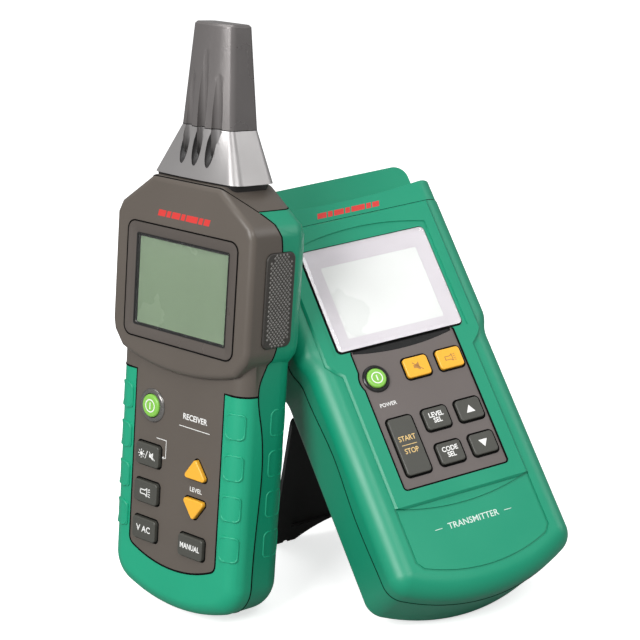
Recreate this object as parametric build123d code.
"""Circuit breaker finder: a hand-held receiver with a probe, and a transmitter on its folding stand.

Each unit is drawn upright in its own frame: X to its right, Z up its length and Y from its front face
to its back. At the end both units are leaned back, turned and set down beside each other, with the
middle of the footprint at the origin and Z = 0 on the surface that they stand on. Sizes are in mm.
"""

import os
from math import acos, cos, degrees, radians, sin, sqrt, tan

from build123d import *

os.makedirs("parts", exist_ok=True)

# ---- Placing of the two units. The receiver's place is its X, and its Y from the line where the plane of
# the transmitter's front face meets the ground.
TX_LEAN = 40.92
RX_LEAN = 11.11
RX_TURN = -69.9
RX_PLACE = (-105.2, 114.439)

# ---- Clearances shared by both units
SEAM_GAP = 0.15
KEY_GAP = 0.3
SEAT_GAP = 0.2
PIN_GAP = 0.15
DOOR_GAP = 0.3

# ---- Stack behind both key panels, from the front of the unit
PANEL_BACK = 2.2
KEY_LIP = 0.6
KEY_LIP_THICK = 1.0
KEY_TRAVEL = 0.8
MAT_FRONT = PANEL_BACK + KEY_GAP + KEY_LIP_THICK + KEY_TRAVEL + 0.5
MAT_THICK = 1.2
BOARD_FRONT = MAT_FRONT + MAT_THICK + SEAT_GAP
BOARD_THICK = 1.6
BOARD_BACK = BOARD_FRONT + BOARD_THICK

# ---- Transmitter casing
TX_HEIGHT = 190.0
TX_DEPTH = 42.5
TX_HALF_HEAD = 44.5
TX_HALF_BODY = 41.5
TX_BOTTOM_ARC = 80.0
TX_WALL = 2.4
TX_FRONT_ROUND = 8.5
TX_BACK_ROUND = 7.0
TX_PANEL_RISE = 1.2
TX_SEAM_Z = 166.8
TX_CAP_TOP = 176.6
TX_HOOD_FRONT = 13.0
TX_HOOD_THICK = 9.0
TX_HOOD_HALF = 39.5
TX_SPLIT = 15.0
TX_SPLIT_WAVE = 2.2

# ---- Transmitter display and keys
TX_LENS = (58.0, 45.5)
TX_LENS_Z = 132.45
TX_LENS_RISE = 1.4
TX_LENS_THICK = 2.4
TX_GLASS = (46.0, 33.5)
TX_GLASS_Z = 130.85
TX_PLATE_HALF = 24.0
TX_PLATE_Z = (47.9, 109.2)
TX_PLATE_FRONT = 0.4
TX_KEY_FRONT = -0.8
TX_POWER = (-17.5, 95.6)
TX_POWER_R = 4.2
TX_RING_R = 5.9
TX_KEYS = {
    "tx_mute_key": (1.6, 96.2, 11.0, 8.5),
    "tx_torch_key": (17.1, 96.2, 11.0, 8.5),
    "tx_level_key": (1.07, 73.2, 10.9, 8.9),
    "tx_up_key": (16.5, 73.2, 10.9, 8.9),
    "tx_code_key": (1.07, 58.0, 10.9, 8.9),
    "tx_down_key": (16.5, 58.0, 10.9, 8.9),
    "tx_start_key": (-15.0, 65.2, 10.9, 24.4),
}

# ---- Transmitter stand, battery, sockets
STAND_HALF = 38.5
STAND_THICK = 3.6
STAND_FOOT_Z = 20.0
STAND_TAB_HALF = 30.0
STAND_TAB_Z = 96.0
STAND_GAP = 0.4
STAND_SWING_GAP = 1.0
STAND_INSET = 0.2
HINGE_Z = 104.0
HINGE_BARREL_R = 2.4
HINGE_PIN_R = 1.2
HINGE_PIN_LENGTH = 9.0
HINGE_Y = TX_DEPTH - STAND_INSET - HINGE_BARREL_R
TRAY_THICK = 2.4
NINE_VOLT = (26.5, 17.5, 48.5)
TX_DOOR = (34.0, 58.0)
TX_DOOR_Z = 61.0
SOCKET_X = 12.0
SOCKET_Y = 32.5
SOCKET_BORE_R = 2.0
SOCKET_WALL_R = 4.6
SOCKET_DEPTH = 15.0
TX_TORCH_R = 3.6

# ---- Receiver casing
RX_HALF_BODY = 36.5
RX_BODY_BACK = 30.5
RX_BOTTOM_R = 80.0
RX_CORNER_R = 14.0
RX_HALF_HEAD = 39.0
RX_HEAD_FRONT = -3.0
RX_HEAD_BACK = 32.0
RX_HEAD_TOP = 179.6
RX_HEAD_LOW = 101.0
RX_HUMP_BACK = 35.5
RX_HUMP_ROUND = 4.0
RX_HUMP_TOP = 117.0
RX_HEAD_ROUND = 10.0
RX_WALL = 2.4
RX_GRIP_THICK = 2.0
RX_GRIP_TOP = 98.0
RX_PANEL_HALF = 25.5
RX_COLLAR_Z = 171.0
SIDE_GRIP = (16.0, 38.0)
SIDE_GRIP_PLACE = (13.0, 137.0)
SIDE_GRIP_SINK = 1.2
SIDE_GRIP_RISE = 0.8

# ---- Receiver display and keys
RX_BEZEL = (62.5, 47.3)
RX_WINDOW = (52.1, 37.2)
RX_WINDOW_Z = 136.1
RX_BEZEL_DEPTH = 1.6
RX_LENS_THICK = 1.0
RX_LEDGE = 2.0
RX_KEY_FRONT = -1.7
RX_POWER = (-15.1, 84.5)
RX_POWER_R = 4.8
RX_RING_R = 7.1
RX_KEYS = {
    "rx_light_key": (-15.6, 63.5, 13.5, 9.2),
    "rx_torch_key": (-15.6, 47.5, 13.5, 9.2),
    "rx_volt_key": (-15.6, 31.5, 13.5, 9.2),
    "rx_manual_key": (12.0, 31.0, 14.0, 9.0),
}
RX_ARROW_X = 12.4
RX_ARROW = (6.8, 8.9)
RX_ARROW_BASES = {"rx_level_up_key": (59.6, 1), "rx_level_down_key": (51.25, -1)}

# ---- Receiver probe and inner pieces
SKIRT_Z = 180.4
PROBE_Z = 200.4
PROBE_TOP = 241.5
SKIRT_SECTION = (24.0, 0.0, 1.6, 25.0)
PROBE_LOW_SECTION = (14.4, 4.0, 3.6, 23.0)
PROBE_HIGH_SECTION = (11.2, 5.6, 2.8, 19.6)
PROBE_WALL = 1.8
PROBE_FRONT_WALLS = (5.2, 2.0)
FLUTE_PITCH = 7.8
FLUTE_R = 2.4
CORE_Y = 13.6
FERRITE = (3.5, 40.0)
COIL = (4.4, 20.0)
AAA = (5.25, 44.5)
AAA_PITCH = 11.2
AAA_GAP = 0.15
AAA_LOW_Z = 21.0
RX_HUMP_HALF = AAA_PITCH + AAA[0] + AAA_GAP + RX_WALL
RX_DOOR_Z = (20.0, 114.0)
RX_TORCH_R = 2.6

# ---- Fasteners
SCREW_R = 1.25
SCREW_HEAD = (2.4, 1.6)
BOSS_R = 2.7
TX_SCREW_TIP = TX_SPLIT + 0.9
RX_SCREW_TIP = 12.0
TX_SCREWS = [(-35.0, 25.0), (35.0, 25.0), (-37.0, 152.0), (37.0, 152.0)]
RX_SCREWS = [(-28.0, 22.0), (28.0, 22.0), (-32.4, 157.0), (32.4, 157.0)]


# ======================================================================= helpers
def slab(outline, front, back):
    """A front-view outline (x, z) as a solid from depth front to depth back."""
    return Pos(0, back, 0) * extrude(Plane.XZ * outline, amount=back - front)


def block(x0, x1, y0, y1, z0, z1):
    return Pos((x0 + x1) / 2, (y0 + y1) / 2, (z0 + z1) / 2) * Box(x1 - x0, y1 - y0, z1 - z0)


def rod(radius, x, z, front, back):
    """A round bar that runs along the depth of the unit."""
    return slab(Pos(x, z) * Circle(radius), front, back)


def post(radius, x, y, low, high):
    """A round bar that runs up the unit."""
    return Pos(x, y, (low + high) / 2) * Cylinder(radius, high - low)


def panel(x, z, width, height, corner):
    return Pos(x, z) * RectangleRounded(width, height, corner)


def mirrored(points):
    """A closed outline from the points of its right half, lowest first."""
    return points + [(-x, z) for x, z in reversed(points)]


def front_edges(solid):
    return solid.faces().sort_by(Axis.Y)[0].edges()


def back_edges(solid):
    return solid.faces().sort_by(Axis.Y)[-1].edges()


def soften(solid, front=0.0, back=0.0):
    if front > 0:
        solid = fillet(front_edges(solid), front)
    if back > 0:
        solid = fillet(back_edges(solid), back)
    return solid


def outline_with_arc(low_half, low_z, upper):
    """An outline whose bottom is an arc through z = 0 and whose right side is the list upper."""
    side = [(low_half, low_z)] + upper
    rest = Polyline(*(side + [(-x, z) for x, z in reversed(side)]))
    bottom = ThreePointArc((-low_half, low_z), (0, 0), (low_half, low_z))
    return make_face([bottom, rest])


def round_corners(outline, low, high, radius):
    chosen = [v for v in outline.vertices() if low <= v.Y <= high]
    return fillet(chosen, radius)


# ======================================================================= transmitter casing
def tx_outline():
    low_z = TX_BOTTOM_ARC - sqrt(TX_BOTTOM_ARC**2 - TX_HALF_BODY**2)
    upper = [(TX_HALF_BODY, 105.5), (TX_HALF_HEAD, 112.0), (TX_HALF_HEAD, TX_HEIGHT)]
    face = outline_with_arc(TX_HALF_BODY, low_z, upper)
    face = round_corners(face, low_z - 1, low_z + 1, 9.0)
    return round_corners(face, 105.0, 113.0, 12.0)


def tx_block(inset):
    outline = tx_outline()
    if inset > 0:
        outline = offset(outline, amount=-inset)
    body = slab(outline, TX_PANEL_RISE + inset, TX_DEPTH - inset)
    top = body.bounding_box().max.Z
    for edges, radius in ((front_edges, TX_FRONT_ROUND), (back_edges, TX_BACK_ROUND)):
        chosen = [e for e in edges(body) if e.center().Z < top - 0.5]
        body = fillet(chosen, max(radius - inset, 1.5))
    return body


def tx_raised_panel():
    """The raised field round the display and the keys, which narrows below the display."""
    points = [(30.7, 41.0), (30.7, 99.8), (34.2, 102.8), (36.4, 105.8), (36.4, TX_SEAM_Z)]
    face = make_face(Polyline(*(mirrored(points)), close=True))
    return chamfer(front_edges(slab(face, 0, TX_PANEL_RISE + 3)), TX_PANEL_RISE * 0.7)


def tx_label_field():
    points = [(28.4, 15.6), (31.0, 19.0), (31.0, 42.2)]
    side = Polyline(*points)
    other = Polyline(*[(-x, z) for x, z in points])
    low = ThreePointArc((-28.4, 15.6), (0, 9.9), (28.4, 15.6))
    high = ThreePointArc((-31.0, 42.2), (0, 37.6), (31.0, 42.2))
    return make_face([low, side, high, other])


def wave_region(front_side):
    """The space in front of the wavy parting line, or behind it, seen from the side."""
    gap = -SEAM_GAP / 2 if front_side else SEAM_GAP / 2
    heights = [-10, 20, 50, 72, 92, 108, 125, 150, 200]
    swing = [0, -0.2, 0.4, -0.6, 0.6, 1.0, 0, -0.2, 0]
    line = Spline(*[(TX_SPLIT + gap + TX_SPLIT_WAVE * s, z) for z, s in zip(heights, swing)])
    far = -20.0 if front_side else TX_DEPTH + 20
    start, end = line @ 0, line @ 1
    edge = Polyline((end.X, end.Y), (far, end.Y), (far, start.Y), (start.X, start.Y))
    return extrude(Plane.YZ * make_face([line, edge]), amount=TX_HALF_HEAD + 10, both=True)


def tx_plate_outline():
    """The key plate: straight sides, a bulge round the power ring and a top under the display."""
    low, high = TX_PLATE_Z
    field = panel(0, (low + high) / 2, 2 * TX_PLATE_HALF, high - low, 1.5)
    return field + Pos(*TX_POWER) * Circle(TX_RING_R + 1.6)


def stand_outline(grow, shoulder_grow):
    """The folded stand seen from behind: a wide leaf with a narrower hinge tab on top."""
    foot = STAND_FOOT_Z - grow
    shoulder = STAND_TAB_Z + shoulder_grow
    leaf = panel(0, (foot + shoulder) / 2, 2 * (STAND_HALF + grow), shoulder - foot, 2.0)
    tab_top = HINGE_Z + grow
    tab_low = STAND_TAB_Z - 10
    tab = Pos(0, (tab_low + tab_top) / 2) * Rectangle(2 * (STAND_TAB_HALF + grow), tab_top - tab_low)
    return leaf + tab


RECESS_FLOOR = TX_DEPTH - STAND_INSET - STAND_THICK - STAND_GAP
TRAY_FRONT = RECESS_FLOOR - TRAY_THICK


def tx_shells():
    outer = tx_block(0) + tx_raised_panel()
    cavity = tx_block(TX_WALL) - block(-99, 99, -9, PANEL_BACK + 1.2, -9, 999)
    below_seam = block(-60, 60, -20, 80, -20, TX_SEAM_Z)
    hollow = (outer - cavity) & below_seam
    front = hollow & wave_region(True)
    back = hollow & wave_region(False)

    # front: display pocket and window, brow, key plate pocket, label field
    brow_low = TX_LENS_Z - TX_LENS[1] / 2 - 1.0
    brow = make_face([
        Polyline((-31.2, 157.6), (-31.2, brow_low), (31.2, brow_low), (31.2, 157.6)),
        ThreePointArc((31.2, 157.6), (0, 161.6), (-31.2, 157.6)),
    ])
    front -= slab(brow, -1, 0.5)
    front -= slab(panel(0, TX_LENS_Z, TX_LENS[0] + 2 * SEAT_GAP, TX_LENS[1] + 2 * SEAT_GAP, 2.0),
                  -1, TX_LENS_THICK - TX_LENS_RISE + SEAT_GAP)
    front -= slab(panel(0, TX_GLASS_Z, *TX_GLASS, 1.0), -1, 9)
    plate = tx_plate_outline()
    front -= slab(offset(plate, amount=SEAT_GAP), -1, PANEL_BACK + SEAT_GAP / 2)
    front -= slab(offset(plate, amount=-0.6), -1, 9)
    label = tx_label_field()
    groove = slab(label, -1, TX_PANEL_RISE + 0.5) - slab(offset(label, amount=-0.9), -2, 9)
    front -= groove
    for x, z in TX_SCREWS:
        boss = rod(BOSS_R, x, z, TX_PANEL_RISE + 1.5, TX_SPLIT + 6)
        front += boss - rod(SCREW_R * 0.8, x, z, 6, 60)

    # back: tray for the folded stand, knuckles, door opening, screw seats
    tray = block(-STAND_HALF - 2.4, STAND_HALF + 2.4, TRAY_FRONT, TX_DEPTH, STAND_FOOT_Z - 3, HINGE_Z + 6)
    back += tray & tx_block(0.3)
    back -= slab(stand_outline(STAND_GAP, STAND_SWING_GAP), RECESS_FLOOR, TX_DEPTH + 9)
    barrel_room = Rot(0, 90, 0) * Cylinder(HINGE_BARREL_R + STAND_GAP, 2 * (STAND_TAB_HALF + STAND_GAP))
    back -= Pos(0, HINGE_Y, HINGE_Z) * barrel_room
    back -= block(-STAND_TAB_HALF - STAND_GAP, STAND_TAB_HALF + STAND_GAP, HINGE_Y, TX_DEPTH + 9,
                  HINGE_Z - 1, HINGE_Z + HINGE_BARREL_R + STAND_GAP)
    for side in (-1, 1):
        back -= Pos(side * (STAND_TAB_HALF + 3), HINGE_Y, HINGE_Z) * (
            Rot(0, 90, 0) * Cylinder(HINGE_PIN_R, 8))
    back -= slab(panel(0, TX_DOOR_Z, TX_DOOR[0] + 2 * DOOR_GAP, TX_DOOR[1] + 2 * DOOR_GAP, 2.3),
                 TRAY_FRONT - 1, RECESS_FLOOR + 1)
    for x, z in TX_SCREWS:
        seat = tx_screw_seat(z)
        back += rod(BOSS_R, x, z, TX_SPLIT + 6.3, seat + 0.2) & tx_block(0.3)
        back -= rod(SCREW_R + 0.2, x, z, TX_SPLIT + 4, TX_DEPTH + 9)
        back -= rod(SCREW_HEAD[0] + 0.2, x, z, seat - SCREW_HEAD[1] - 0.1, TX_DEPTH + 9)
    return front, back


def tx_screw_seat(z):
    """Depth of the outer face that a case screw is sunk into."""
    return RECESS_FLOOR if z < HINGE_Z else TX_DEPTH - 0.6


def tx_cap():
    """The top cap: low front with a dipped edge, a guard wall and a ledge for the sockets."""
    shell = tx_block(0.25)
    top = TX_CAP_TOP
    front_top = make_face([
        Polyline((-60, top), (-60, 150), (60, 150), (60, top), (38, top)),
        ThreePointArc((38, top), (0, top - 2.2), (-38, top)),
        Line((-38, top), (-60, top)),
    ])
    low = shell & slab(front_top, -5, TX_HOOD_FRONT)
    ledge = shell & block(-60, 60, TX_HOOD_FRONT, 60, 150, top)
    hood_face = round_corners(
        Pos(0, (150 + TX_HEIGHT) / 2) * Rectangle(2 * TX_HOOD_HALF, TX_HEIGHT - 150),
        TX_HEIGHT - 1, TX_HEIGHT + 1, 6.0)
    hood = slab(hood_face, TX_HOOD_FRONT, TX_HOOD_FRONT + TX_HOOD_THICK)
    hood = soften(hood, back=2.0)
    cap = (low + ledge + hood) & block(-60, 60, -5, 60, TX_SEAM_Z + SEAM_GAP, 200)
    cavity = offset(tx_outline(), amount=-TX_WALL)
    room = slab(cavity, TX_PANEL_RISE + TX_WALL + 1, TX_DEPTH - TX_WALL - 1)
    room &= block(-60, 60, -5, 60, TX_SEAM_Z - 9, top - 4.2)
    cap -= room
    for side in (-1, 1):
        cap -= post(SOCKET_WALL_R + SEAT_GAP / 2, side * SOCKET_X, SOCKET_Y, 150, 200)
    cap -= post(TX_TORCH_R + SEAT_GAP / 2, 0, SOCKET_Y, 150, 200)
    return cap


def tx_stand():
    """The stand in its folded place: leaf, hinge barrel and an arched foot."""
    leaf_back = TX_DEPTH - STAND_INSET
    leaf = slab(stand_outline(0, 0), leaf_back - STAND_THICK, leaf_back) & tx_block(STAND_INSET)
    inner = block(-STAND_HALF + 8, STAND_HALF - 8, leaf_back - STAND_THICK - 1, leaf_back - 2.2,
                  STAND_FOOT_Z + 9, STAND_TAB_Z - 6)
    leaf -= inner
    foot_arch = make_face([
        ThreePointArc((-30, STAND_FOOT_Z - 2), (0, STAND_FOOT_Z + 9), (30, STAND_FOOT_Z - 2)),
        Line((30, STAND_FOOT_Z - 2), (-30, STAND_FOOT_Z - 2)),
    ])
    leaf -= slab(foot_arch, 0, 60)
    for side in (-1, 1):
        leaf -= rod(1.1, side * 32.5, STAND_FOOT_Z, 0, 60)
    barrel = Pos(0, HINGE_Y, HINGE_Z) * (
        Rot(0, 90, 0) * Cylinder(HINGE_BARREL_R, 2 * STAND_TAB_HALF))
    leaf -= Pos(0, HINGE_Y, HINGE_Z) * (Rot(0, 90, 0) * Cylinder(HINGE_BARREL_R - 0.2, 90))
    stand = leaf + barrel
    for side in (-1, 1):
        hole = Rot(0, 90, 0) * Cylinder(HINGE_PIN_R + PIN_GAP, HINGE_PIN_LENGTH)
        stand -= Pos(side * (STAND_TAB_HALF - 0.5), HINGE_Y, HINGE_Z) * hole
    return stand


def tx_stand_pins():
    pins = []
    for side in (-1, 1):
        pin = Rot(0, 90, 0) * Cylinder(HINGE_PIN_R - 0.02, HINGE_PIN_LENGTH - 2)
        pins.append(Pos(side * (STAND_TAB_HALF + 0.6), HINGE_Y, HINGE_Z) * pin)
    return pins


# ======================================================================= keys of both units
def key_cap(outline, front, lip=KEY_LIP):
    """A key: a domed cap that passes through the panel and a lip that keeps it in."""
    lip_front = PANEL_BACK + KEY_GAP
    cap = slab(outline, front, lip_front + KEY_LIP_THICK)
    cap = fillet(front_edges(cap), 0.5)
    return cap + slab(offset(outline, amount=lip), lip_front, lip_front + KEY_LIP_THICK)


def key_outline(x, z, width, height):
    return panel(x, z, width, height, 1.4)


def arrow_outline(name):
    base, way = RX_ARROW_BASES[name]
    half, height = RX_ARROW
    points = [(RX_ARROW_X - half, base), (RX_ARROW_X + half, base), (RX_ARROW_X, base + way * height)]
    return fillet(make_face(Polyline(*points, close=True)).vertices(), 1.2)


def power_ring(place, ring_r, button_r, front):
    """A turned ring whose neck sits in the panel and whose bore guides the button."""
    neck = button_r + KEY_GAP + 0.7
    ring = rod(ring_r, *place, front - 0.9, front) + rod(neck, *place, front - 0.1, PANEL_BACK)
    ring = chamfer(ring.faces().sort_by(Axis.Y)[0].edges(), 0.6)
    return ring - rod(button_r + KEY_GAP, *place, -9, 9), neck


def power_button(place, button_r, front):
    lip_front = PANEL_BACK + KEY_GAP
    button = fillet(front_edges(rod(button_r, *place, front, lip_front + KEY_LIP_THICK)), 0.8)
    return button + rod(button_r + 1.1, *place, lip_front, lip_front + KEY_LIP_THICK)


# ======================================================================= receiver casing
def rx_body(inset):
    low_z = RX_BOTTOM_R - sqrt(RX_BOTTOM_R**2 - RX_HALF_BODY**2)
    face = outline_with_arc(RX_HALF_BODY, low_z, [(RX_HALF_BODY, 118.0)])
    face = round_corners(face, low_z - 1, low_z + 1, RX_CORNER_R)
    if inset > 0:
        face = offset(face, amount=-inset)
    body = slab(face, inset, RX_BODY_BACK - inset)
    top = body.bounding_box().max.Z
    for edges, radius in ((front_edges, 7.0), (back_edges, 11.0)):
        chosen = [e for e in edges(body) if e.center().Z < top - 0.5]
        body = fillet(chosen, max(radius - inset, 1.5))
    return body


def rx_head_outline():
    """The head: broad over the display, drawn in to the probe above and to a curved chin below."""
    side = [(28.0, 104.6), (33.0, 106.4), (38.0, 112.6), (RX_HALF_HEAD, 117.0),
            (RX_HALF_HEAD, 162.0), (36.6, 166.8), (19.0, RX_HEAD_TOP)]
    rest = Polyline(*(side + [(-x, z) for x, z in reversed(side)]))
    chin = ThreePointArc((-28.0, 104.6), (0, RX_HEAD_LOW), (28.0, 104.6))
    return make_face([chin, rest])


def rx_head(inset):
    face = rx_head_outline()
    if inset > 0:
        face = offset(face, amount=-inset)
    front = RX_HEAD_FRONT + (3.4 if inset > 0 else 0)
    head = slab(face, front, RX_HEAD_BACK - inset)
    return soften(head, front=2.6 if inset == 0 else 0, back=max(RX_HEAD_ROUND - inset, 1.5))


def rx_hump(inset):
    """The raised spine down the back that the cells lie in."""
    face = panel(0, (RX_HUMP_TOP + 1) / 2, 2 * RX_HUMP_HALF, RX_HUMP_TOP - 1, 6.0)
    if inset > 0:
        face = offset(face, amount=-inset)
    return soften(slab(face, 15.0, RX_HUMP_BACK - inset), back=max(RX_HUMP_ROUND - inset, 1.0))


def rx_split_region(front_side):
    """The space in front of the parting line of the receiver, or behind it."""
    gap = -SEAM_GAP / 2 if front_side else SEAM_GAP / 2
    line = Spline((11 + gap, -10), (11 + gap, 40), (10.5 + gap, 85), (8.6 + gap, 104),
                  (12.6 + gap, 112), (14 + gap, 120), (14 + gap, 155), (11.6 + gap, 166),
                  (5.5 + gap, 173), (-4 + gap, 181.5))
    far = -30.0 if front_side else RX_HUMP_BACK + 20
    start, end = line @ 0, line @ 1
    edge = Polyline((end.X, end.Y), (far, end.Y), (far, start.Y), (start.X, start.Y))
    return extrude(Plane.YZ * make_face([line, edge]), amount=RX_HALF_HEAD + 10, both=True)


def rx_panel_outline(grow):
    """The key field, which the green frame goes round."""
    half = RX_PANEL_HALF + grow
    low = ThreePointArc((-half, 24.0 - grow), (0, 18.0 - grow), (half, 24.0 - grow))
    rest = Polyline((half, 24.0 - grow), (half, 150), (-half, 150), (-half, 24.0 - grow))
    return round_corners(make_face([low, rest]), 20, 26, 4.0)


def grip_zone(grow):
    """Where the green frame lies: outside the key field, in front of the seam, below the head."""
    zone = block(-60, 60, -20, 60, -20, RX_GRIP_TOP + grow)
    return (zone & rx_split_region(True)) - slab(rx_panel_outline(-grow), -20, 60)


def rx_pads():
    """Four finger pads on each rounded shoulder of the green frame."""
    pads = []
    for side in (-1, 1):
        for z in (85.9, 68.9, 52.0, 35.0):
            pads.append(slab(panel(side * 31.0, z, 8.4, 10.4, 1.6), -1, 8))
    return pads


def side_grip(side):
    """A textured pad on the side of the head."""
    pad = extrude(Plane.YZ * (Pos(*SIDE_GRIP_PLACE) * RectangleRounded(*SIDE_GRIP, 3.0)),
                  amount=SIDE_GRIP_SINK - SEAM_GAP + SIDE_GRIP_RISE)
    pad = fillet(pad.faces().sort_by(Axis.X)[-1].edges(), 0.5)
    pad = Pos(RX_HALF_HEAD - SIDE_GRIP_SINK + SEAM_GAP, 0, 0) * pad
    return pad if side > 0 else mirror(pad, about=Plane.YZ)


def side_grip_pocket(side):
    width, height = SIDE_GRIP
    outline = RectangleRounded(width + 2 * SEAM_GAP, height + 2 * SEAM_GAP, 3.0 + SEAM_GAP)
    pocket = extrude(Plane.YZ * (Pos(*SIDE_GRIP_PLACE) * outline), amount=6)
    pocket = Pos(RX_HALF_HEAD - SIDE_GRIP_SINK, 0, 0) * pocket
    return pocket if side > 0 else mirror(pocket, about=Plane.YZ)


def rx_shells():
    outer = rx_body(0) + rx_head(0) + rx_hump(0)
    cavity = rx_body(RX_GRIP_THICK + RX_WALL) + rx_head(RX_WALL) + rx_hump(RX_WALL)
    cavity += slab(panel(0, 60.2, 47.0, 72.4, 3.0), PANEL_BACK, RX_GRIP_THICK + RX_WALL + 1)
    under_grip = rx_body(0) - rx_body(RX_GRIP_THICK + SEAM_GAP)
    front = (outer - (under_grip & grip_zone(SEAM_GAP))) & rx_split_region(True)
    back = outer & rx_split_region(False)
    front -= cavity
    back -= cavity
    front -= slab(panel(0, RX_WINDOW_Z, RX_BEZEL[0] + 0.3, RX_BEZEL[1] + 0.3, 4.1),
                  -9, RX_HEAD_FRONT + RX_BEZEL_DEPTH + SEAM_GAP)
    window = panel(0, RX_WINDOW_Z, RX_WINDOW[0] - 2 * RX_LEDGE, RX_WINDOW[1] - 2 * RX_LEDGE, 1.0)
    front -= slab(window, -9, 3)
    for x, z, width, height in RX_KEYS.values():
        front -= slab(panel(x, z, width + 2 * KEY_GAP, height + 2 * KEY_GAP, 1.7), -9, PANEL_BACK + 1)
    for name in RX_ARROW_BASES:
        front -= slab(offset(arrow_outline(name), amount=KEY_GAP), -9, PANEL_BACK + 1)
    front -= rod(RX_POWER_R + KEY_GAP + 0.7 + SEAM_GAP, *RX_POWER, -9, PANEL_BACK + 1)
    for x, z in RX_SCREWS:
        wall = 3.5 if z < RX_HEAD_LOW else 0.2
        front += rod(BOSS_R, x, z, wall, 16) - rod(SCREW_R * 0.8, x, z, 6, 60)
        room = rod(BOSS_R, x, z, 16.3, rx_screw_seat(z) + 3.0) & outer
        back += room
        back -= rod(SCREW_R + 0.2, x, z, 12, 60)
        back -= rod(SCREW_HEAD[0] + 0.2, x, z, rx_screw_seat(z) - SCREW_HEAD[1] - 0.1, 60)
    for side in (-1, 1):
        front -= side_grip_pocket(side)
        back -= side_grip_pocket(side)
    above = block(-60, 60, -30, 80, RX_COLLAR_Z, 260)
    collar = back & (Pos(0, 0, SEAM_GAP) * above)
    back -= above
    back -= rx_door_space(DOOR_GAP)
    collar -= post(RX_TORCH_R + SEAT_GAP / 2, 0, 28.0, 100, 200)
    return front, back, collar


def rx_screw_seat(z):
    """Depth of the outer face that a case screw is sunk into."""
    return RX_BODY_BACK - 4.5 if z < RX_HEAD_LOW else RX_HEAD_BACK - 5.0


def rx_door_space(grow):
    low, high = RX_DOOR_Z
    outline = panel(0, (low + high) / 2, 2 * (RX_HUMP_HALF - 3.5 + grow), high - low + 2 * grow, 3 + grow)
    return slab(outline, RX_HUMP_BACK - RX_WALL - grow, RX_HUMP_BACK + 5)


def rx_grip_frame():
    frame = (rx_body(0) - rx_body(RX_GRIP_THICK)) & grip_zone(0)
    raised = rx_body(0)
    for pad in rx_pads():
        frame += (Pos(0, -0.5, 0) * (raised & pad)) & (pad - rx_body(RX_GRIP_THICK))
    return frame - rx_head(0)


# ======================================================================= receiver probe
def probe_section(half, front, bulge, back, corner=3.0):
    """A section of the probe seen from above: flat back and sides, crowned front."""
    crown = ThreePointArc((-half, front + bulge), (0, front), (half, front + bulge))
    rest = Polyline((half, front + bulge), (half, back), (-half, back), (-half, front + bulge))
    return fillet(make_face([crown, rest]).vertices(), corner)


def inner_section(section, front_wall, wall=PROBE_WALL):
    half, front, bulge, back = section
    return (half - wall, front + front_wall, bulge, back - wall)


def flutes():
    """Three round scoops that start in the skirt and run out up the probe."""
    low, high = Vector(0, 6.2, SKIRT_Z + 8.0), Vector(0, 2.9, PROBE_Z + 29)
    way = high - low
    tilt = degrees(acos(way.Z / way.length))
    cutter = Cone(FLUTE_R * 0.7, FLUTE_R, FLUTE_R, align=(Align.CENTER, Align.CENTER, Align.MIN))
    bar = Cylinder(FLUTE_R, way.length, align=(Align.CENTER, Align.CENTER, Align.MIN))
    cutter = Pos(*low) * (Rot(tilt, 0, 0) * (cutter + Pos(0, 0, FLUTE_R) * bar))
    return [Pos(i * FLUTE_PITCH, 0, 0) * cutter for i in (-1, 0, 1)]


def rx_probe():
    skirt = loft([Plane.XY.offset(SKIRT_Z) * probe_section(*SKIRT_SECTION, corner=5.0),
                  Plane.XY.offset(PROBE_Z) * probe_section(*PROBE_LOW_SECTION)])
    probe = loft([Plane.XY.offset(PROBE_Z + SEAM_GAP) * probe_section(*PROBE_LOW_SECTION),
                  Plane.XY.offset(PROBE_TOP) * probe_section(*PROBE_HIGH_SECTION)])
    probe = chamfer(probe.faces().sort_by(Axis.Z)[-1].edges(), 0.9)
    low_wall, high_wall = PROBE_FRONT_WALLS
    room_low = probe_section(*inner_section(PROBE_LOW_SECTION, low_wall), corner=1.5)
    room_high = probe_section(*inner_section(PROBE_HIGH_SECTION, high_wall), corner=1.5)
    probe_room = loft([Plane.XY.offset(PROBE_Z - 0.5) * room_low,
                       Plane.XY.offset(PROBE_TOP - PROBE_WALL) * room_high])
    skirt_low = probe_section(*inner_section(SKIRT_SECTION, low_wall, 2.4), corner=3.0)
    skirt_room = loft([Plane.XY.offset(SKIRT_Z - 0.5) * skirt_low,
                       Plane.XY.offset(PROBE_Z + 0.5) * room_low])
    for cutter in flutes():
        skirt -= cutter
        probe -= cutter
    return skirt - skirt_room, probe - probe_room


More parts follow.
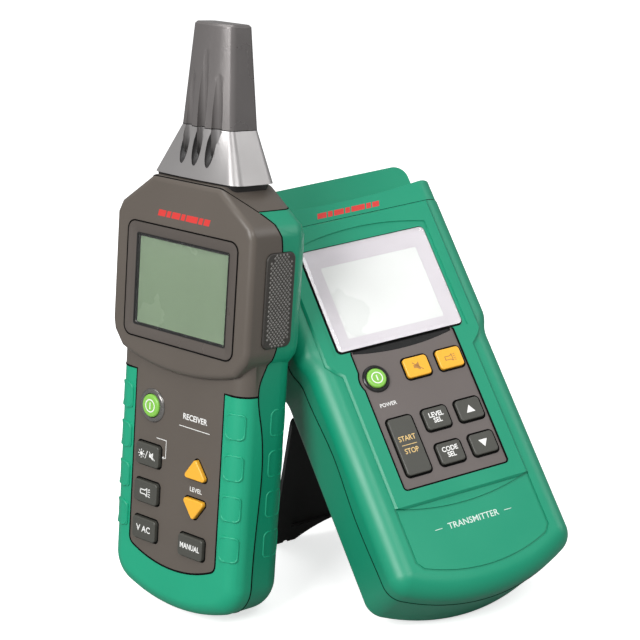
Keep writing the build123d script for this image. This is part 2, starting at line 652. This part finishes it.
# ======================================================================= both sets of nodes
def transmitter():
    nodes = {}
    front, back = tx_shells()
    nodes["tx_front_shell"] = front
    nodes["tx_back_shell"] = back
    nodes["tx_top_cap"] = tx_cap()

    ring, neck = power_ring(TX_POWER, TX_RING_R, TX_POWER_R, TX_PLATE_FRONT)
    plate = slab(tx_plate_outline(), TX_PLATE_FRONT, PANEL_BACK)
    plate -= rod(neck + SEAM_GAP, *TX_POWER, -9, 9)
    for name, (x, z, width, height) in TX_KEYS.items():
        plate -= slab(panel(x, z, width + 2 * KEY_GAP, height + 2 * KEY_GAP, 1.7), -9, 9)
        nodes[name] = key_cap(key_outline(x, z, width, height), TX_KEY_FRONT)
    crescent_top = TX_PLATE_Z[1] + 1
    crescent = make_face([
        ThreePointArc((-23.0, 107.9), (0, 105.6), (23.0, 107.9)),
        Polyline((23.0, 107.9), (23.0, crescent_top), (-23.0, crescent_top), (-23.0, 107.9)),
    ])
    nodes["tx_keypad_plate"] = plate - slab(crescent, -1, 1.2)
    nodes["tx_power_ring"] = ring
    nodes["tx_power_button"] = power_button(TX_POWER, TX_POWER_R, TX_KEY_FRONT - 0.3)

    lens_back = TX_LENS_THICK - TX_LENS_RISE
    lens = slab(panel(0, TX_LENS_Z, *TX_LENS, 1.8), -TX_LENS_RISE, lens_back)
    nodes["tx_display_lens"] = chamfer(front_edges(lens), 1.0)
    nodes["tx_lcd_module"] = slab(panel(0, TX_GLASS_Z, TX_GLASS[0] + 4, TX_GLASS[1] + 4, 0.8),
                                  PANEL_BACK + 1.6, BOARD_FRONT - SEAT_GAP)
    mat = slab(panel(0, 74.5, 44.5, 56.0, 2.0), MAT_FRONT, MAT_FRONT + MAT_THICK)
    nodes["tx_key_mat"] = mat
    board = slab(panel(0, 87.0, 60.0, 148.0, 3.0), BOARD_FRONT, BOARD_BACK)
    chip = block(-7, 7, BOARD_BACK - 0.1, BOARD_BACK + 1.6, 108, 122)
    nodes["tx_main_board"] = board + chip
    nodes["tx_buzzer"] = rod(6.0, 18, 138, BOARD_BACK + 0.1, BOARD_BACK + 4.6)

    socket_top = TX_CAP_TOP + 1.0
    for side, name in ((-1, "tx_socket_black"), (1, "tx_socket_red")):
        x = side * SOCKET_X
        tube = post(SOCKET_WALL_R, x, SOCKET_Y, socket_top - SOCKET_DEPTH, socket_top)
        nodes[name] = tube - post(SOCKET_BORE_R, x, SOCKET_Y, socket_top - SOCKET_DEPTH + 1, socket_top + 1)
    nodes["tx_torch_lens"] = fillet(
        post(TX_TORCH_R, 0, SOCKET_Y, TX_CAP_TOP - 6, TX_CAP_TOP + 0.8).edges().group_by(Axis.Z)[-1], 0.7)
    nodes["tx_torch_led"] = post(2.5, 0, SOCKET_Y, TX_CAP_TOP - 14, TX_CAP_TOP - 6.2)

    width, depth, height = NINE_VOLT
    battery_back = TRAY_FRONT - SEAT_GAP
    battery_low = TX_DOOR_Z - height / 2 + 5
    battery = block(-width / 2, width / 2, battery_back - depth, battery_back,
                    battery_low, battery_low + height)
    nodes["tx_battery"] = fillet(battery.edges().filter_by(Axis.Z), 2.0)
    mid = battery_back - depth / 2
    clip = block(-12.5, 12.5, mid - 7, mid + 7, battery_low + height + 0.1, battery_low + height + 3.6)
    nodes["tx_battery_clip"] = clip
    door = slab(panel(0, TX_DOOR_Z, *TX_DOOR, 2.0), TRAY_FRONT, RECESS_FLOOR)
    screw_z = TX_DOOR_Z - TX_DOOR[1] / 2 + 5
    door -= rod(SCREW_HEAD[0] + 0.2, 0, screw_z, RECESS_FLOOR - SCREW_HEAD[1], 99)
    door -= rod(SCREW_R + 0.15, 0, screw_z, 0, 99)
    nodes["tx_battery_door"] = door
    nodes["tx_battery_door_screw"] = screw(0, screw_z, RECESS_FLOOR - 0.1, RECESS_FLOOR - 5.1)
    nodes["tx_stand_pins"] = tx_stand_pins()
    nodes["tx_case_screws"] = [screw(x, z, tx_screw_seat(z) - 0.2, TX_SCREW_TIP) for x, z in TX_SCREWS]
    return nodes


def screw(x, z, head_back, tip):
    """A screw driven from behind as far as the depth tip, with a cross slot in its head."""
    head = rod(SCREW_HEAD[0], x, z, head_back - SCREW_HEAD[1] + 0.2, head_back)
    slot = Rectangle(3.0, 0.7) + Rectangle(0.7, 3.0)
    shank_r = SCREW_R * 0.8 - 0.05
    return head + rod(shank_r, x, z, tip, head_back - 1) - slab(
        Pos(x, z) * slot, head_back - 0.8, head_back + 1)


def receiver():
    nodes = {}
    front, back, collar = rx_shells()
    nodes["rx_front_shell"] = front
    nodes["rx_back_shell"] = back
    nodes["rx_collar"] = collar
    nodes["rx_grip_frame"] = rx_grip_frame()
    skirt, probe = rx_probe()
    nodes["rx_skirt"] = skirt
    nodes["rx_probe_housing"] = probe
    nodes["rx_side_grip_left"] = side_grip(-1)
    nodes["rx_side_grip_right"] = side_grip(1)

    bezel_back = RX_HEAD_FRONT + RX_BEZEL_DEPTH
    bezel = slab(panel(0, RX_WINDOW_Z, *RX_BEZEL, 4.0), RX_HEAD_FRONT - 0.2, bezel_back)
    window = panel(0, RX_WINDOW_Z, *RX_WINDOW, 1.6)
    nodes["rx_display_bezel"] = bezel - slab(window, -9, 9)
    nodes["rx_display_lens"] = slab(offset(window, amount=-0.15), bezel_back - RX_LENS_THICK, bezel_back)
    nodes["rx_lcd_module"] = slab(panel(0, RX_WINDOW_Z, RX_WINDOW[0], RX_WINDOW[1] + 2, 0.8), 0.8,
                                  BOARD_FRONT - SEAT_GAP)
    ring, _ = power_ring(RX_POWER, RX_RING_R, RX_POWER_R, 0)
    nodes["rx_power_ring"] = ring
    nodes["rx_power_button"] = power_button(RX_POWER, RX_POWER_R, RX_KEY_FRONT)
    for name, (x, z, width, height) in RX_KEYS.items():
        nodes[name] = key_cap(key_outline(x, z, width, height), RX_KEY_FRONT)
    for name in RX_ARROW_BASES:
        nodes[name] = key_cap(arrow_outline(name), RX_KEY_FRONT)
    nodes["rx_key_mat"] = slab(panel(0, 58.0, 46.0, 66.0, 2.0), MAT_FRONT, MAT_FRONT + MAT_THICK)
    board = slab(panel(0, 86.0, 48.0, 140.0, 3.0), BOARD_FRONT, BOARD_BACK)
    chip = block(-6, 6, BOARD_BACK - 0.1, BOARD_BACK + 1.6, 122, 134)
    nodes["rx_main_board"] = board + chip
    nodes["rx_buzzer"] = rod(6.0, 12, 148, BOARD_BACK + 0.1, BOARD_BACK + 4.6)

    core_r, core_length = FERRITE
    core_high = PROBE_TOP - PROBE_WALL - 1.0
    nodes["rx_ferrite_core"] = post(core_r, 0, CORE_Y, core_high - core_length, core_high)
    coil_r, coil_length = COIL
    coil_low = PROBE_Z + 6
    coil = post(coil_r, 0, CORE_Y, coil_low, coil_low + coil_length) - post(core_r + 0.1, 0, CORE_Y, 0, 300)
    nodes["rx_sensor_coil"] = coil
    nodes["rx_torch_lens"] = post(RX_TORCH_R, 0, 28.0, RX_COLLAR_Z + 1, RX_HEAD_TOP + 1.0)

    cell_r, cell_length = AAA
    cell_y = RX_HUMP_BACK - RX_WALL - DOOR_GAP - cell_r - 0.8
    cells = []
    springs = []
    for column in (-1, 0, 1):
        for row in (0, 1):
            low = AAA_LOW_Z + row * (cell_length + 2.4)
            x = column * AAA_PITCH
            cells.append(post(cell_r, x, cell_y, low, low + cell_length - 1)
                         + post(1.9, x, cell_y, low + cell_length - 1.1, low + cell_length))
            springs.append(post(2.6, x, cell_y, low - 1.2, low - 0.1))
    nodes["rx_battery_cells"] = cells
    nodes["rx_battery_contacts"] = springs

    door = rx_door_space(0) & rx_hump(0)
    screw_z = RX_DOOR_Z[0] + 5
    door -= rod(SCREW_HEAD[0] + 0.2, 0, screw_z, RX_HUMP_BACK - SCREW_HEAD[1], 99)
    door -= rod(SCREW_R + 0.15, 0, screw_z, 0, 99)
    nodes["rx_battery_door"] = door
    nodes["rx_battery_door_screw"] = screw(0, screw_z, RX_HUMP_BACK - 0.1, RX_HUMP_BACK - 3.1)
    nodes["rx_case_screws"] = [screw(x, z, rx_screw_seat(z) - 0.2, RX_SCREW_TIP) for x, z in RX_SCREWS]
    return nodes


# ======================================================================= placing
def put(place, shape):
    """A node's shape moved to its place; a node of like pieces is a list of solids."""
    if isinstance(shape, list):
        return Compound([place * piece for piece in shape])
    return place * shape


def lifted(turn, solids):
    """How far a turned unit is raised so that its lowest point lies at z = 0."""
    return -min((turn * solid).bounding_box().min.Z for solid in solids)


def stand_angle(lift):
    """How far the stand swings out so that the inner edge of its foot reaches the ground."""
    lean = radians(TX_LEAN)
    hinge_height = lift - HINGE_Y * sin(lean) + HINGE_Z * cos(lean)
    foot_depth = TX_DEPTH - STAND_INSET - STAND_THICK - HINGE_Y
    reach = HINGE_Z - STAND_FOOT_Z
    length = sqrt(reach**2 + foot_depth**2)
    dip = degrees(acos(foot_depth / length))
    return TX_LEAN + degrees(acos(hinge_height / length)) - (90 - dip)


def assembled():
    tx_nodes = transmitter()
    rx_nodes = receiver()
    tx_turn = Rot(-TX_LEAN, 0, 0)
    rx_turn = Rot(0, 0, RX_TURN) * Rot(-RX_LEAN, 0, 0)
    tx_lift = lifted(tx_turn, [tx_nodes["tx_back_shell"], tx_nodes["tx_front_shell"]])
    rx_lift = lifted(rx_turn, [rx_nodes[name] for name in ("rx_back_shell", "rx_front_shell", "rx_grip_frame")])
    swing = stand_angle(tx_lift)
    opened = Pos(0, HINGE_Y, HINGE_Z) * Rot(swing, 0, 0) * Pos(0, -HINGE_Y, -HINGE_Z)
    tx_nodes["tx_stand"] = opened * tx_stand()
    tx_place = Pos(0, 0, tx_lift) * tx_turn
    rx_y = RX_PLACE[1] - tx_lift * tan(radians(TX_LEAN))
    rx_place = Pos(RX_PLACE[0], rx_y, rx_lift) * rx_turn
    placed = {name: put(tx_place, shape) for name, shape in tx_nodes.items()}
    placed.update({name: put(rx_place, shape) for name, shape in rx_nodes.items()})
    boxes = [shape.bounding_box() for shape in placed.values()]
    mid_x = (min(b.min.X for b in boxes) + max(b.max.X for b in boxes)) / 2
    mid_y = (min(b.min.Y for b in boxes) + max(b.max.Y for b in boxes)) / 2
    home = Pos(-mid_x, -mid_y, 0)
    print(f"transmitter lift {tx_lift:.3f}, receiver lift {rx_lift:.3f}, stand swing {swing:.3f}")
    print(f"origin shift {-mid_x:.3f} {-mid_y:.3f}")
    return {name: home * shape for name, shape in placed.items()}


for node_name, shape in assembled().items():
    export_step(shape, f"parts/{node_name}.step")
